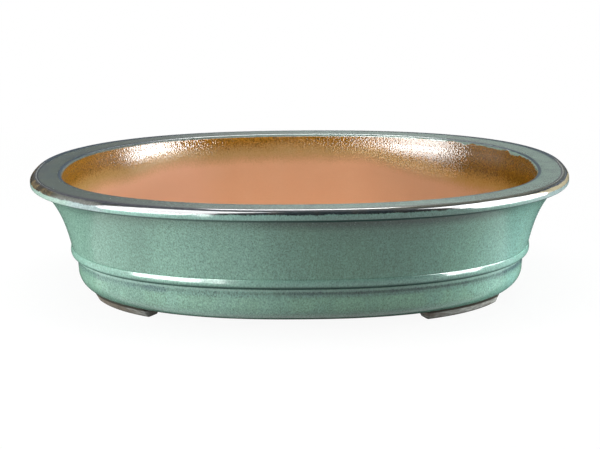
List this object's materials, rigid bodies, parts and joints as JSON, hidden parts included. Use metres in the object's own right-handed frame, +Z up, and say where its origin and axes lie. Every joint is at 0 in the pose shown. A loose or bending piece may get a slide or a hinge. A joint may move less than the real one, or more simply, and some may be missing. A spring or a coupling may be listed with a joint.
{
  "type": "oval bonsai pot",
  "caption": "Low oval planting pot with a wide flat rim, flared wall, raised waist band, drained floor and short curved feet.",
  "frame": {"origin": "on the ground, under the middle of the pot", "axes": "+X along the pot's length, +Z up; the side that the picture shows faces -Y"},
  "size_m": [0.5, 0.4, 0.116],
  "materials": {
    "wall_glaze": "glossy speckled green glaze outside, amber glaze fading to bare clay inside",
    "rim_glaze": "glossy grey-green glaze that breaks dark at the edges",
    "band_glaze": "glossy green glaze",
    "bare_clay": "matt unglazed terracotta",
    "foot_clay": "matt unglazed grey-brown clay"
  },
  "bodies": {
    "root": {"pot_wall": "wall_glaze", "rim": "rim_glaze", "waist_band": "band_glaze", "floor_slab": "bare_clay", "foot_front_right": "foot_clay", "foot_front_left": "foot_clay", "foot_back_right": "foot_clay", "foot_back_left": "foot_clay"}
  },
  "joints": []
}
